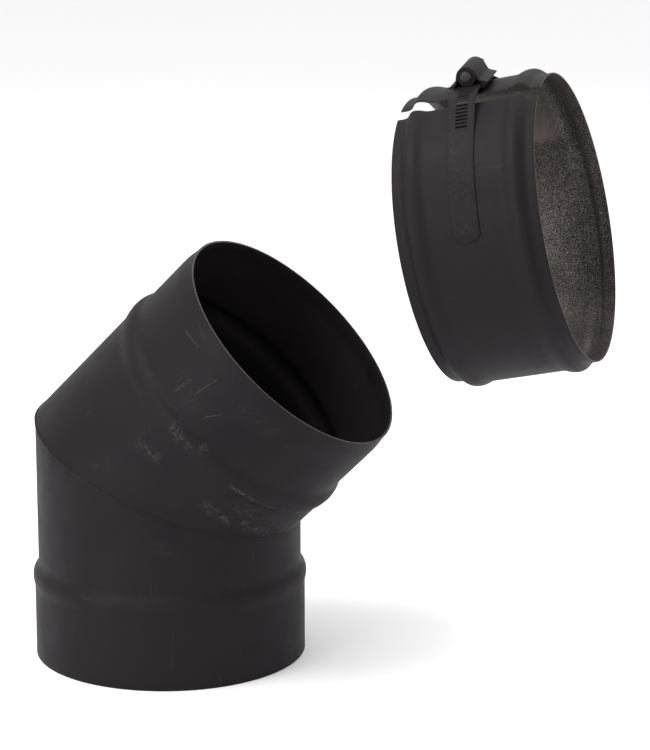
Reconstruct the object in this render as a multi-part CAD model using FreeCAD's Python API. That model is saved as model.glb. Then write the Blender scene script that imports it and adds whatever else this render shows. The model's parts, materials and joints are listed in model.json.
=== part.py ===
import FreeCAD, Part
import math
import os
from FreeCAD import Placement, Rotation, Vector

# A 45 degree mitred flue elbow for a solid fuel stove, with the wide locking band that clamps
# its joint. Millimetres, +Z up. The origin is the centre of the elbow's lower rim, the lower
# leg rises along +Z and the upper leg leans towards +X.

# ---- Driving dimensions: the elbow ----
BEND_DEG = 45.0            # angle between the two legs
WALL = 1.2                 # sheet thickness of the elbow
TUBE_R = 75.8              # outside radius of the plain tube
LOWER_LEG = 110.0          # lower rim to the middle of the mitre
UPPER_LEG = 111.3          # middle of the mitre to the upper rim

SOCKET_R = 78.1            # outside radius of the female end
SOCKET_LEN = 39.6          # straight depth of the female end
LOWER_BEAD_R = 79.0
LOWER_BEAD_AT = 46.8       # height of the bead's crest above the lower rim
LOWER_BEAD_END = 56.3      # where the bead has run out into the tube

SPIGOT_R = 74.4            # outside radius of the male end
SPIGOT_TIP_R = 73.2        # its slimmer lip, which leads it into the next socket
SPIGOT_LEAD = 12.0         # length of the lead-in taper
UPPER_BEAD_FOOT = 43.0     # these three run down from the upper rim
UPPER_BEAD_R = 77.4
UPPER_BEAD_AT = 51.8
UPPER_BEAD_END = 63.0

WELD_WIDTH = 2.6           # mitre weld, measured along the tube
WELD_RISE = 0.4            # how far it stands off the tube

# ---- Driving dimensions: the locking band ----
BAND_CENTRE = Vector(194.2, 25.3, 255.5)
BAND_YAW_DEG = 5.0         # the band's axis is turned this far from +X towards +Y
BAND_PITCH_DEG = 12.0      # and then raised this far
BAND_WALL = 0.7
BAND_WIDTH = 77.6
BAND_R = 80.8              # outside radius of the flat between the two beads
BAND_FLAT_HALF = 19.5      # half length of that flat
BAND_BEAD_R = 82.6
BAND_BEAD_AT = 28.0        # each bead's crest, from the middle
BAND_LIP_R = 78.6          # outside radius of the lips beyond the beads
BAND_LIP_AT = 35.2         # where each lip starts, from the middle

# Angles round the band run from its top towards the front, that is from +Z towards -Y.
GAP_REAR_DEG = 19.0        # the rear half's free edge
GAP_FRONT_DEG = 26.0       # the front half's free edge
FLEX_DEG = 188.0           # line at the bottom about which the sheet flexes
FLEX_SLIT = 0.3            # slit left between the two halves on that line
FLEX_INSET = 0.2           # the pivot lies this far inside the lips

# ---- Driving dimensions: strap, housing and worm ----
STRAP_WIDTH = 14.2
STRAP_THICK = 0.7
STRAP_END_DEG = 86.0       # the welded, rounded end of the slotted strap
SLOT_PITCH = 2.3
SLOT_LENGTH = 6.6          # across the strap
SLOT_HEIGHT = 1.1          # along the strap
SLOT_COUNT = 24
SLOT_START = 10.0          # first slot's distance up the straight run of the strap

HOUSING_DEG = 8.4          # housing's direction, seen from the flex pivot
HOUSING_RHO = 160.0        # underside of the anchor strap in the housing, from the flex pivot
HOUSING_LENGTH = 24.0
STRAP_SLIDE_GAP = 0.35     # running gap above and below the strap in the housing
STRAP_TRAVEL = 11.5        # length of strap in front of the housing that it can run over
STRAP_TAIL = 2.0           # length of strap behind the housing
STRAP_BEND_R = 14.0        # bend where the strap drops from the housing to the band
NOSE_RATIO = 0.62          # radius of a strap's rounded end over its width

ANCHOR_THICK = 0.8
ANCHOR_WIDTH = 14.0
ANCHOR_END_DEG = -38.0
ANCHOR_BEND_R = 9.0
CAP_WALL = 0.9
CAP_SKIRT_HALF = 7.5       # inside half width over the strap
CAP_ARCH_R = 4.6           # inside radius of the arch over the worm
CAP_ARCH_DEG = 70.0        # each side of the arch, from its top
CAP_FLARE_H = 3.2          # height at which the sides spread into the skirt
CAP_WING = 2.4             # how far the skirt's wings stand out
WING_H = 1.6               # height of the wings' sharp edges
WING_EDGE = 0.6            # thickness of those edges

WORM_CREST_R = 4.2
WORM_ROOT_R = 2.9
WORM_THREAD_W = 0.8
JOURNAL_R = 3.2            # the worm's plain ends, which turn in the end walls
JOURNAL_FIT = 0.06         # radial running clearance of both journals
END_WALL = 1.0
TIP_OUT = 1.2              # how far the domed tip stands out in front
HEAD_FLATS = 7.0
HEAD_LENGTH = 5.0
COLLAR_R = 4.2
COLLAR_LENGTH = 1.0
DRIVE_SLOT = 1.2
DRIVE_SLOT_DEPTH = 1.6
END_PLAY = 0.3             # gap from the rear end wall to the collar, and from core to end walls
HEAD_CHAMFER = 0.2         # how far the head's end face is chamfered inside its flats
HEAD_SLOPE = 0.68          # how fast that chamfer grows towards the collar
TIP_ROUND = 0.8            # rounding of the domed tip, as a share of its height
THREAD_CLEAR = 2.0         # plain length of core left at each end of the thread
THREAD_FLANK = 0.35        # each flank's slope, measured along the worm
THREAD_BITE = 0.2          # how deep the thread's foot is sunk in the core
CRIMP_LAP = 2.0            # how far the cap's crimps reach in under the anchor strap

WELD_SPOT_R = 1.4
WELD_SPOT_HIGH = 0.25      # how far a weld spot stands above its strap
STRAP_SPOTS_DEG = (69.0, 82.5)
ANCHOR_SPOTS_DEG = (-22.0, -32.0)

SKIN = 1.0                 # overlap that cutting tools need beyond a surface
CUTTER = 16.0              # depth of the tool that trims the straps' ends
BLOCK = 800.0              # side of a block larger than the whole part

AXIS_X = Vector(1, 0, 0)
AXIS_Y = Vector(0, 1, 0)
AXIS_Z = Vector(0, 0, 1)
ORIGIN = Vector(0, 0, 0)

os.makedirs("parts", exist_ok=True)


def export(shape, node):
    """Write one sub-part, after checking that it is a set of closed solids."""
    assert shape.isValid(), node
    assert all(solid.isClosed() and solid.Volume > 0 for solid in shape.Solids), node
    shape.exportStep("parts/" + node + ".step")
    print(node, "solids", len(shape.Solids), "volume", round(shape.Volume, 1))


def ogee(start, end, along):
    """Two equal arcs joining two points, both ends of the run tangent to `along`."""
    middle = (start + end) * 0.5
    edges = []
    for point, way in ((start, 1), (end, -1)):
        chord = middle - point
        bulge = chord - along * chord.dot(along)
        half = chord * 0.5
        radius = chord.Length ** 2 / (2 * bulge.Length)
        centre = point + bulge.normalize() * radius
        spoke = point + half - centre
        on_arc = centre + spoke.normalize() * radius
        ends = (point, on_arc, middle) if way == 1 else (middle, on_arc, point)
        edges.append(Part.Arc(*ends).toShape())
    return edges


def wall_profile(stations, along, outward, thickness):
    """Closed face of a sheet wall whose outside passes through (distance, radius) stations.

    Runs between equal radii are straight, and all the others are ogees.
    """
    outer = []
    inner = []
    for (d0, r0), (d1, r1) in zip(stations, stations[1:]):
        for edges, drop in ((outer, 0), (inner, thickness)):
            p0 = along * d0 + outward * (r0 - drop)
            p1 = along * d1 + outward * (r1 - drop)
            if abs(r1 - r0) < 1e-9:
                edges.append(Part.LineSegment(p0, p1).toShape())
            else:
                edges.extend(ogee(p0, p1, along))
    caps = []
    for d, r in (stations[0], stations[-1]):
        low = along * d + outward * (r - thickness)
        high = along * d + outward * r
        caps.append(Part.LineSegment(low, high).toShape())
    return Part.Face(Part.Wire(Part.__sortEdges__(outer + inner + caps)))


# ---- The elbow ----
BEND = math.radians(BEND_DEG)
MITRE = Vector(0, 0, LOWER_LEG)
UPPER_DIR = Vector(math.sin(BEND), 0, math.cos(BEND))
UPPER_RIM = MITRE + UPPER_DIR * UPPER_LEG
MITRE_NORMAL = Vector(math.sin(BEND / 2), 0, math.cos(BEND / 2))
OVERRUN = TUBE_R * math.tan(BEND / 2) + 5


def half_space(keep):
    """A large block on one side of the mitre plane: keep is +1 above it, -1 below it."""
    block = Part.makeBox(BLOCK, BLOCK, BLOCK, Vector(-BLOCK / 2, -BLOCK / 2, 0))
    turn = Rotation(AXIS_Z, MITRE_NORMAL * keep)
    block.Placement = Placement(MITRE, turn)
    return block


def upper_frame():
    """Placement of the upper leg, drawn from its rim downwards along its own +Z."""
    turn = Rotation(AXIS_Y, BEND_DEG + 180)
    return Placement(UPPER_RIM, turn)


def lower_segment():
    stations = [
        (0, SOCKET_R),
        (SOCKET_LEN, SOCKET_R),
        (LOWER_BEAD_AT, LOWER_BEAD_R),
        (LOWER_BEAD_END, TUBE_R),
        (LOWER_LEG + OVERRUN, TUBE_R),
    ]
    face = wall_profile(stations, AXIS_Z, AXIS_X, WALL)
    return face.revolve(ORIGIN, AXIS_Z, 360).common(half_space(-1))


def upper_segment():
    stations = [
        (0, SPIGOT_TIP_R),
        (SPIGOT_LEAD, SPIGOT_R),
        (UPPER_BEAD_FOOT, SPIGOT_R),
        (UPPER_BEAD_AT, UPPER_BEAD_R),
        (UPPER_BEAD_END, TUBE_R),
        (UPPER_LEG + OVERRUN, TUBE_R),
    ]
    face = wall_profile(stations, AXIS_Z, AXIS_X, WALL)
    tube = face.revolve(ORIGIN, AXIS_Z, 360)
    tube.Placement = upper_frame()
    return tube.common(half_space(1))


def mitre_weld():
    """A low ridge round the outside of the mitre, half on each leg."""
    ring = None
    for side in (-1, 1):
        collar = Part.makeCylinder(TUBE_R + WELD_RISE, 3 * OVERRUN, Vector(0, 0, -1.5 * OVERRUN))
        core = Part.makeCylinder(TUBE_R, 4 * OVERRUN, Vector(0, 0, -2 * OVERRUN))
        sleeve = collar.cut(core)
        turn = Rotation() if side < 0 else Rotation(AXIS_Y, BEND_DEG)
        sleeve.Placement = Placement(MITRE, turn)
        sleeve = sleeve.common(half_space(side))
        slab = Part.makeCylinder(2 * TUBE_R, WELD_WIDTH, Vector(0, 0, -WELD_WIDTH / 2))
        slab.Placement = Placement(MITRE, Rotation(AXIS_Z, MITRE_NORMAL))
        sleeve = sleeve.common(slab)
        ring = sleeve if ring is None else ring.fuse(sleeve)
    return ring.removeSplitter()


# ---- The band, drawn about its own axis +X with its top at +Z, then set in place ----
BAND_TURN = Rotation(AXIS_Z, BAND_YAW_DEG).multiply(Rotation(AXIS_Y, -BAND_PITCH_DEG))
BAND_FRAME = Placement(BAND_CENTRE, BAND_TURN)


def polar(radius, degrees, x=0.0, centre=ORIGIN):
    """Point at a radius and angle round the band's axis, or round a centre in its own plane."""
    angle = math.radians(degrees)
    return centre + Vector(x, -radius * math.sin(angle), radius * math.cos(angle))


def in_place(shape):
    """Move a shape from the band's frame into the part's frame."""
    placed = shape.copy()
    placed.Placement = BAND_FRAME.multiply(placed.Placement)
    return placed


FLEX_R = BAND_LIP_R - BAND_WALL - FLEX_INSET
FLEX_PIVOT = polar(FLEX_R, FLEX_DEG)


def band_half(start_deg, end_deg):
    stations = [
        (-BAND_WIDTH / 2, BAND_LIP_R),
        (-BAND_LIP_AT, BAND_LIP_R),
        (-BAND_BEAD_AT, BAND_BEAD_R),
        (-BAND_FLAT_HALF, BAND_R),
        (BAND_FLAT_HALF, BAND_R),
        (BAND_BEAD_AT, BAND_BEAD_R),
        (BAND_LIP_AT, BAND_LIP_R),
        (BAND_WIDTH / 2, BAND_LIP_R),
    ]
    face = wall_profile(stations, AXIS_X, AXIS_Z, BAND_WALL)
    face.rotate(ORIGIN, AXIS_X, start_deg)
    return face.revolve(ORIGIN, AXIS_X, end_deg - start_deg)


SLIT_DEG = math.degrees(FLEX_SLIT / FLEX_R) / 2


# ---- The straps ----
HALF_HOUSING_DEG = math.degrees(HOUSING_LENGTH / 2 / HOUSING_RHO)
STRAP_RHO = HOUSING_RHO + ANCHOR_THICK + STRAP_SLIDE_GAP


class StrapRoute:
    """Path of a flat strap: an arc about the flex pivot, a bend, a straight run and a lap.

    `way` is +1 for a strap that runs down towards the front and -1 towards the back. The lap
    lies on the band and starts where the straight run is tangent to it.
    """

    def __init__(self, rho, free_deg, bend_deg, bend_r, way, end_deg):
        self.rho = rho
        self.free_deg = free_deg
        self.bend_deg = bend_deg
        self.bend_r = bend_r
        self.end_deg = end_deg
        self.bend_centre = polar(rho - bend_r, bend_deg, centre=FLEX_PIVOT)
        own_deg = math.degrees(math.atan2(-self.bend_centre.y, self.bend_centre.z))
        reach = (BAND_R - bend_r) / self.bend_centre.Length
        self.touch_deg = own_deg + way * math.degrees(math.acos(reach))

    def on_arc(self, deg, lift):
        return polar(self.rho + lift, deg, centre=FLEX_PIVOT)

    def on_bend(self, deg, lift):
        return polar(self.bend_r + lift, deg, centre=self.bend_centre)

    def side(self, lift):
        """One long side of the strap's section, at a height above its underside."""
        arc_mid = (self.free_deg + self.bend_deg) / 2
        bend_mid = (self.bend_deg + self.touch_deg) / 2
        lap_mid = (self.touch_deg + self.end_deg) / 2
        free = self.on_arc(self.free_deg, lift)
        bend = self.on_arc(self.bend_deg, lift)
        leave = self.on_bend(self.touch_deg, lift)
        touch = polar(BAND_R + lift, self.touch_deg)
        end = polar(BAND_R + lift, self.end_deg)
        return [
            Part.Arc(free, self.on_arc(arc_mid, lift), bend).toShape(),
            Part.Arc(bend, self.on_bend(bend_mid, lift), leave).toShape(),
            Part.LineSegment(leave, touch).toShape(),
            Part.Arc(touch, polar(BAND_R + lift, lap_mid), end).toShape(),
        ]

    def strip(self, thickness, width):
        """The strap's solid, centred on the band's middle plane."""
        low = self.side(0)
        high = self.side(thickness)
        ends = []
        for low_end, high_end in ((low[0].firstVertex(), high[0].firstVertex()),
                                  (low[-1].lastVertex(), high[-1].lastVertex())):
            ends.append(Part.LineSegment(low_end.Point, high_end.Point).toShape())
        face = Part.Face(Part.Wire(Part.__sortEdges__(low + high + ends)))
        face.translate(Vector(-width / 2, 0, 0))
        return face.extrude(Vector(width, 0, 0))

    def station(self, along, lift):
        """Point and outward angle at a distance up the strap from where it leaves the band."""
        leave = self.on_bend(self.touch_deg, lift)
        touch = polar(BAND_R + lift, self.touch_deg)
        straight = (leave - touch).Length
        bend_len = math.radians(self.touch_deg - self.bend_deg) * (self.bend_r + lift)
        if along <= straight:
            return touch + (leave - touch) * (along / straight), self.touch_deg
        along -= straight
        if along <= bend_len:
            deg = self.touch_deg - math.degrees(along / (self.bend_r + lift))
            return self.on_bend(deg, lift), deg
        along -= bend_len
        deg = self.bend_deg - math.degrees(along / (self.rho + lift))
        return self.on_arc(deg, lift), deg


SLOTTED_ROUTE = StrapRoute(
    rho=STRAP_RHO,
    free_deg=HOUSING_DEG - HALF_HOUSING_DEG - math.degrees(STRAP_TAIL / HOUSING_RHO),
    bend_deg=HOUSING_DEG + HALF_HOUSING_DEG + math.degrees(STRAP_TRAVEL / HOUSING_RHO),
    bend_r=STRAP_BEND_R,
    way=1,
    end_deg=STRAP_END_DEG,
)
ANCHOR_ROUTE = StrapRoute(
    rho=HOUSING_RHO,
    free_deg=HOUSING_DEG + HALF_HOUSING_DEG,
    bend_deg=HOUSING_DEG - HALF_HOUSING_DEG,
    bend_r=ANCHOR_BEND_R,
    way=-1,
    end_deg=ANCHOR_END_DEG,
)


def nose_cutter(width, end_deg, way):
    """Block that trims a strap's welded end to a shallow round nose; way is as in StrapRoute."""
    nose = width * NOSE_RATIO
    block = Part.makeBox(2 * width, 2 * nose, CUTTER / 2, Vector(-width, -nose, -CUTTER / 4))
    disc = Part.makeCylinder(nose, CUTTER, Vector(0, 0, -CUTTER / 2))
    rear = Part.makeBox(2 * width, nose, CUTTER, Vector(-width, 0, -CUTTER / 2))
    cutter = block.cut([disc, rear])
    cutter.translate(Vector(0, nose, 0))
    if way < 0:
        cutter.rotate(ORIGIN, AXIS_Z, 180)
    on_band = Placement(polar(BAND_R, end_deg), Rotation(AXIS_X, end_deg))
    cutter.Placement = on_band.multiply(cutter.Placement)
    return cutter


def spot_hole(radius, deg, depth, spot_r):
    """Short radial cylinder through a strip lying on the band."""
    return Part.makeCylinder(spot_r, depth, polar(radius, deg), polar(1, deg))


def worm_strap():
    body = SLOTTED_ROUTE.strip(STRAP_THICK, STRAP_WIDTH)
    cutters = []
    for index in range(SLOT_COUNT):
        point, deg = SLOTTED_ROUTE.station(SLOT_START + index * SLOT_PITCH, STRAP_THICK / 2)
        size = Vector(SLOT_LENGTH, SLOT_HEIGHT, 4 * STRAP_THICK)
        slot = Part.makeBox(size.x, size.y, size.z, size * -0.5)
        slot.Placement = Placement(point, Rotation(AXIS_X, deg))
        cutters.append(slot)
    for deg in STRAP_SPOTS_DEG:
        cutters.append(spot_hole(BAND_R - SKIN, deg, STRAP_THICK + 2 * SKIN, WELD_SPOT_R))
    cutters.append(nose_cutter(STRAP_WIDTH, STRAP_END_DEG, 1))
    return body.cut(cutters)


def weld_spots(angles, thickness):
    """Round weld nuggets that fill the holes in a strip and stand a little proud of it."""
    spots = []
    for deg in angles:
        plug = spot_hole(BAND_R - SKIN, deg, SKIN + thickness + WELD_SPOT_HIGH, WELD_SPOT_R)
        skin = Part.makeCylinder(BAND_R, ANCHOR_WIDTH, Vector(-ANCHOR_WIDTH / 2, 0, 0), AXIS_X)
        spots.append(plug.cut(skin))
    return Part.makeCompound(spots)


def anchor_strap():
    body = ANCHOR_ROUTE.strip(ANCHOR_THICK, ANCHOR_WIDTH)
    depth = ANCHOR_THICK + 2 * SKIN
    cutters = [spot_hole(BAND_R - SKIN, deg, depth, WELD_SPOT_R) for deg in ANCHOR_SPOTS_DEG]
    cutters.append(nose_cutter(ANCHOR_WIDTH, ANCHOR_END_DEG, -1))
    return body.cut(cutters)


# ---- Housing frame: X across, Y backwards along the worm, Z away from the anchor strap ----
HOUSING_FOOT = polar(HOUSING_RHO, HOUSING_DEG, centre=FLEX_PIVOT)
HOUSING_FRAME = Placement(HOUSING_FOOT, Rotation(AXIS_X, HOUSING_DEG))
STRAP_TOP = ANCHOR_THICK + STRAP_SLIDE_GAP + STRAP_THICK
WORM_H = STRAP_TOP + STRAP_SLIDE_GAP + WORM_CREST_R


def in_housing(shape):
    """Move a shape from the housing's frame into the band's frame."""
    placed = shape.copy()
    placed.Placement = HOUSING_FRAME.multiply(placed.Placement)
    return placed


def cap_outline(grow):
    """Arch radius, shoulder and foot of the cap's section; grow is 0 inside, CAP_WALL outside."""
    arch = CAP_ARCH_R + grow
    angle = math.radians(CAP_ARCH_DEG)
    shoulder = Vector(arch * math.sin(angle), 0, WORM_H + arch * math.cos(angle))
    foot_h = CAP_FLARE_H + grow
    slope = math.tan(math.pi / 2 - angle)
    foot = Vector(shoulder.x + (shoulder.z - foot_h) * slope, 0, foot_h)
    return arch, shoulder, foot


def cap_section():
    """Face of the bell shaped cap's section, with its wings and the crimps under the strap."""
    arch_in, in_shoulder, in_foot = cap_outline(0)
    arch_out, out_shoulder, out_foot = cap_outline(CAP_WALL)
    skirt_in = CAP_SKIRT_HALF
    skirt_out = CAP_SKIRT_HALF + CAP_WALL
    wing_out = skirt_out + CAP_WING
    under = -CAP_WALL
    lap = ANCHOR_WIDTH / 2 - CRIMP_LAP
    right_out = [
        out_shoulder,
        out_foot,
        Vector(skirt_out, 0, CAP_FLARE_H),
        Vector(wing_out, 0, WING_H + WING_EDGE),
        Vector(wing_out, 0, WING_H),
        Vector(skirt_out, 0, CAP_WALL),
        Vector(skirt_out, 0, under),
        Vector(lap, 0, under),
    ]
    right_in = [
        Vector(lap, 0, 0),
        Vector(skirt_in, 0, 0),
        Vector(skirt_in, 0, CAP_FLARE_H - CAP_WALL),
        Vector(in_foot.x, 0, CAP_FLARE_H),
        in_shoulder,
    ]
    edges = []
    for mirror in (1, -1):
        chain = [Vector(p.x * mirror, 0, p.z) for p in right_out + right_in]
        for first, second in zip(chain, chain[1:]):
            if (first - second).Length > 1e-6:
                edges.append(Part.LineSegment(first, second).toShape())
    for arch, shoulder in ((arch_out, out_shoulder), (arch_in, in_shoulder)):
        left = Vector(-shoulder.x, 0, shoulder.z)
        edges.append(Part.Arc(left, Vector(0, 0, WORM_H + arch), shoulder).toShape())
    return Part.Face(Part.Wire(Part.__sortEdges__(edges)))


def rod(radius, start, length):
    """Cylinder on the worm's axis, from a distance along it."""
    return Part.makeCylinder(radius, length, Vector(0, start, WORM_H), AXIS_Y)


def end_wall(at):
    """Plate across the arch at one end of the cap, bored for the worm's journal."""
    low = STRAP_TOP + STRAP_SLIDE_GAP
    plate = Part.makeBox(2 * CAP_ARCH_R, END_WALL, WORM_H - low, Vector(-CAP_ARCH_R, at, low))
    dome = rod(CAP_ARCH_R, at, END_WALL)
    hole = rod(JOURNAL_R + JOURNAL_FIT, at - END_WALL, 3 * END_WALL)
    return plate.fuse(dome).cut(hole)


def housing_cap():
    section = cap_section()
    section.translate(Vector(0, -HOUSING_LENGTH / 2, 0))
    shell = section.extrude(Vector(0, HOUSING_LENGTH, 0))
    front = end_wall(-HOUSING_LENGTH / 2)
    rear = end_wall(HOUSING_LENGTH / 2 - END_WALL)
    seat = ANCHOR_ROUTE.strip(ANCHOR_THICK, ANCHOR_WIDTH)
    seat.Placement = HOUSING_FRAME.inverse()
    return shell.fuse([front, rear]).cut(seat).removeSplitter()


def hexagon(start, length):
    """Hexagonal prism on the worm's axis, with its outer corners chamfered."""
    reach = HEAD_FLATS / math.sqrt(3)
    corners = []
    for index in range(7):
        angle = math.radians(60 * index + 30)
        place = Vector(reach * math.cos(angle), start, WORM_H + reach * math.sin(angle))
        corners.append(place)
    prism = Part.Face(Part.makePolygon(corners)).extrude(AXIS_Y * length)
    tip_r = HEAD_FLATS / 2 - HEAD_CHAMFER
    cone = Part.makeCone(tip_r + length * HEAD_SLOPE, tip_r, length, Vector(0, start, WORM_H), AXIS_Y)
    return prism.common(cone)


def worm_screw():
    """One turned piece: domed tip, journals, threaded worm, collar and slotted hexagon head."""
    half = HOUSING_LENGTH / 2
    run = HOUSING_LENGTH - 2 * END_WALL - 2 * END_PLAY
    overlap = 2 * END_PLAY
    tip = rod(JOURNAL_R, -half - TIP_OUT, TIP_OUT + END_WALL + overlap)
    rim = [edge for edge in tip.Edges if abs(edge.CenterOfMass.y + half + TIP_OUT) < 1e-6]
    tip = tip.makeFillet(TIP_OUT * TIP_ROUND, rim)
    core = rod(WORM_ROOT_R, -run / 2, run)
    neck = rod(JOURNAL_R, half - END_WALL - overlap, END_WALL + 3 * END_PLAY)
    collar = rod(COLLAR_R, half + END_PLAY, COLLAR_LENGTH)
    head_start = half + END_PLAY + COLLAR_LENGTH
    head = hexagon(head_start, HEAD_LENGTH)
    bit = Part.makeBox(3 * HEAD_FLATS, DRIVE_SLOT_DEPTH + SKIN, DRIVE_SLOT)
    floor = head_start + HEAD_LENGTH - DRIVE_SLOT_DEPTH
    bit.translate(Vector(-1.5 * HEAD_FLATS, floor, WORM_H - DRIVE_SLOT / 2))
    screw = core.fuse([tip, neck, collar, head.cut(bit)])
    return screw.fuse(worm_thread(run)).removeSplitter()


def worm_thread(run):
    """Helical ridge of the worm, one strap pitch per turn."""
    turns_len = run - 2 * THREAD_CLEAR
    helix = Part.makeHelix(SLOT_PITCH, turns_len, WORM_ROOT_R)
    foot = WORM_ROOT_R - THREAD_BITE
    half_low = WORM_THREAD_W / 2 + THREAD_FLANK
    half_high = WORM_THREAD_W / 2
    points = [
        Vector(foot, 0, -half_low),
        Vector(WORM_CREST_R, 0, -half_high),
        Vector(WORM_CREST_R, 0, half_high),
        Vector(foot, 0, half_low),
        Vector(foot, 0, -half_low),
    ]
    section = Part.Wire(Part.makePolygon(points))
    ridge = Part.Wire(helix).makePipeShell([section], True, True)
    # The helix is drawn up +Z, so lay it along the worm.
    ridge.rotate(ORIGIN, AXIS_X, -90)
    ridge.translate(Vector(0, -turns_len / 2, WORM_H))
    return ridge


if __name__ == "__main__":
    export(lower_segment(), "lower_segment")
    export(upper_segment(), "upper_segment")
    export(mitre_weld(), "mitre_weld")
    export(in_place(band_half(GAP_FRONT_DEG, FLEX_DEG - SLIT_DEG)), "band_front_half")
    export(in_place(band_half(FLEX_DEG + SLIT_DEG, 360 + GAP_REAR_DEG)), "band_rear_half")
    export(in_place(worm_strap()), "worm_strap")
    export(in_place(weld_spots(STRAP_SPOTS_DEG, STRAP_THICK)), "strap_weld_spots")
    export(in_place(anchor_strap()), "anchor_strap")
    export(in_place(weld_spots(ANCHOR_SPOTS_DEG, ANCHOR_THICK)), "anchor_weld_spots")
    export(in_place(in_housing(housing_cap())), "worm_housing")
    export(in_place(in_housing(worm_screw())), "worm_screw")

    # The joint axes and mount places, in the part's frame, for the record.
    axis = BAND_TURN.multVec(AXIS_X)
    pivot = BAND_FRAME.multVec(FLEX_PIVOT)
    housing = BAND_FRAME.multiply(HOUSING_FRAME)
    worm_at = housing.multVec(Vector(0, 0, WORM_H))
    worm_dir = housing.Rotation.multVec(Vector(0, -1, 0))
    print("band axis", axis, "flex pivot", pivot)
    print("worm at", worm_at, "worm axis, head to tip", worm_dir)
    print("upper rim", UPPER_RIM, "upper axis", UPPER_DIR)
    print("strap path radius about the pivot", STRAP_RHO + STRAP_THICK / 2)
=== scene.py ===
import json
import math

import bpy
from bpy.props import FloatProperty, FloatVectorProperty, IntProperty, PointerProperty
from mathutils import Matrix, Vector


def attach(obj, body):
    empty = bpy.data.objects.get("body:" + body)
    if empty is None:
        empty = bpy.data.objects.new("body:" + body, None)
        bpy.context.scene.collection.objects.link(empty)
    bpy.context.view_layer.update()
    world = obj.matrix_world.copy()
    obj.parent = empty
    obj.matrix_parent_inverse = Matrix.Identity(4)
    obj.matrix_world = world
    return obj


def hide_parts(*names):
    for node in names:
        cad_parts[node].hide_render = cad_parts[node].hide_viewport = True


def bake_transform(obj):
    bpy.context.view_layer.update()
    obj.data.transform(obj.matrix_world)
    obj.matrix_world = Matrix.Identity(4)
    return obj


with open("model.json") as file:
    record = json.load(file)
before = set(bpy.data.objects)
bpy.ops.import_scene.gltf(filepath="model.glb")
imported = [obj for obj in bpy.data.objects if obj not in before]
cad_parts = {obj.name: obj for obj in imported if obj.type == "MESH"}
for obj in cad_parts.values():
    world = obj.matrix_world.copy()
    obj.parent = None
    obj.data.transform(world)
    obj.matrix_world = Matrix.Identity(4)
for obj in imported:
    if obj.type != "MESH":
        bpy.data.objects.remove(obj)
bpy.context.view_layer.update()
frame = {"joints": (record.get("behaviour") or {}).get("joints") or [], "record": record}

# A mitred stove flue elbow and the beaded locking band for its joint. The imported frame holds
# every size that moves or fits; the pieces made here are drawn round it, in metres.

bl_info = {
    "name": "Flue Elbow And Locking Band",
    "version": (1, 0, 0),
    "blender": (4, 5, 0),
    "location": "View3D > Sidebar > Flue Elbow",
    "description": "Builds the finished surfaces of a flue elbow and its worm drive locking band",
    "category": "Object",
}

X_AXIS = Vector((1, 0, 0))
Y_AXIS = Vector((0, 1, 0))
Z_AXIS = Vector((0, 0, 1))
ORIGIN = Vector((0, 0, 0))
MM = 0.001

# Sizes that the legs share with the marks on them.
LOWER_LEG = 0.110
UPPER_LEG = 0.1113
TUBE_RADIUS = 0.0758
SOCKET_RADIUS = 0.0781
SPIGOT_RADIUS = 0.0744


def mount(name):
    """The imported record's mount of that name."""
    return next(m for m in frame["record"]["mounts"] if m["name"] == name)


def joint(name):
    """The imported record's joint of that name."""
    return next(j for j in frame["joints"] if j["name"] == name)


def axes_matrix(x_dir, z_dir, origin):
    """Matrix that takes a piece's own axes to the row frame; z_dir is squared up to x_dir."""
    x = x_dir.normalized()
    y = z_dir.cross(x).normalized()
    z = x.cross(y)
    return Matrix((
        (x.x, y.x, z.x, origin.x),
        (x.y, y.y, z.y, origin.y),
        (x.z, y.z, z.z, origin.z),
        (0, 0, 0, 1),
    ))


# The elbow: the upper leg's direction comes from its spigot mount, and its foot from the lower leg.
UPPER_DIR = Vector(mount("upper_spigot")["axis"]).normalized()
BEND = math.acos(UPPER_DIR.z)
ELBOW_MITRE = Z_AXIS * LOWER_LEG
UPPER_RIM = ELBOW_MITRE + UPPER_DIR * UPPER_LEG
MITRE_NORMAL = Vector((math.sin(BEND / 2), 0, math.cos(BEND / 2)))

# The band's own frame: +X along its axis, +Z to its top. Angles run from the top to the front.
BAND_AXIS = Vector(mount("band_grip")["axis"]).normalized()
BAND_CENTRE = Vector(mount("band_grip")["pos_m"])
BAND_MATRIX = axes_matrix(BAND_AXIS, Z_AXIS, BAND_CENTRE)
FLEX_PIVOT = BAND_MATRIX.inverted() @ Vector(joint("band_closing")["pos_m"])

# The housing's frame: +X across, +Y from the worm's tip to its head, origin on the worm's axis.
WORM_BACK = -Vector(joint("worm_turn")["axis"]).normalized()
WORM_CENTRE = Vector(joint("worm_turn")["pos_m"])
WORM_MATRIX = axes_matrix(BAND_AXIS, BAND_AXIS.cross(WORM_BACK), WORM_CENTRE)


# ---- Sizes and finishes that a user would change ----
def length(name, description, default):
    return FloatProperty(
        name=name, description=description, default=default, unit="LENGTH", precision=5
    )


def angle(name, description, degrees):
    return FloatProperty(
        name=name, description=description, default=math.radians(degrees), unit="ROTATION"
    )


def share(name, description, default, top=1.0):
    return FloatProperty(
        name=name, description=description, default=default, min=0.0, max=top, subtype="FACTOR"
    )


def colour(name, description, default):
    return FloatVectorProperty(
        name=name, description=description, default=default, size=3, min=0.0, max=1.0, subtype="COLOR"
    )


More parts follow.
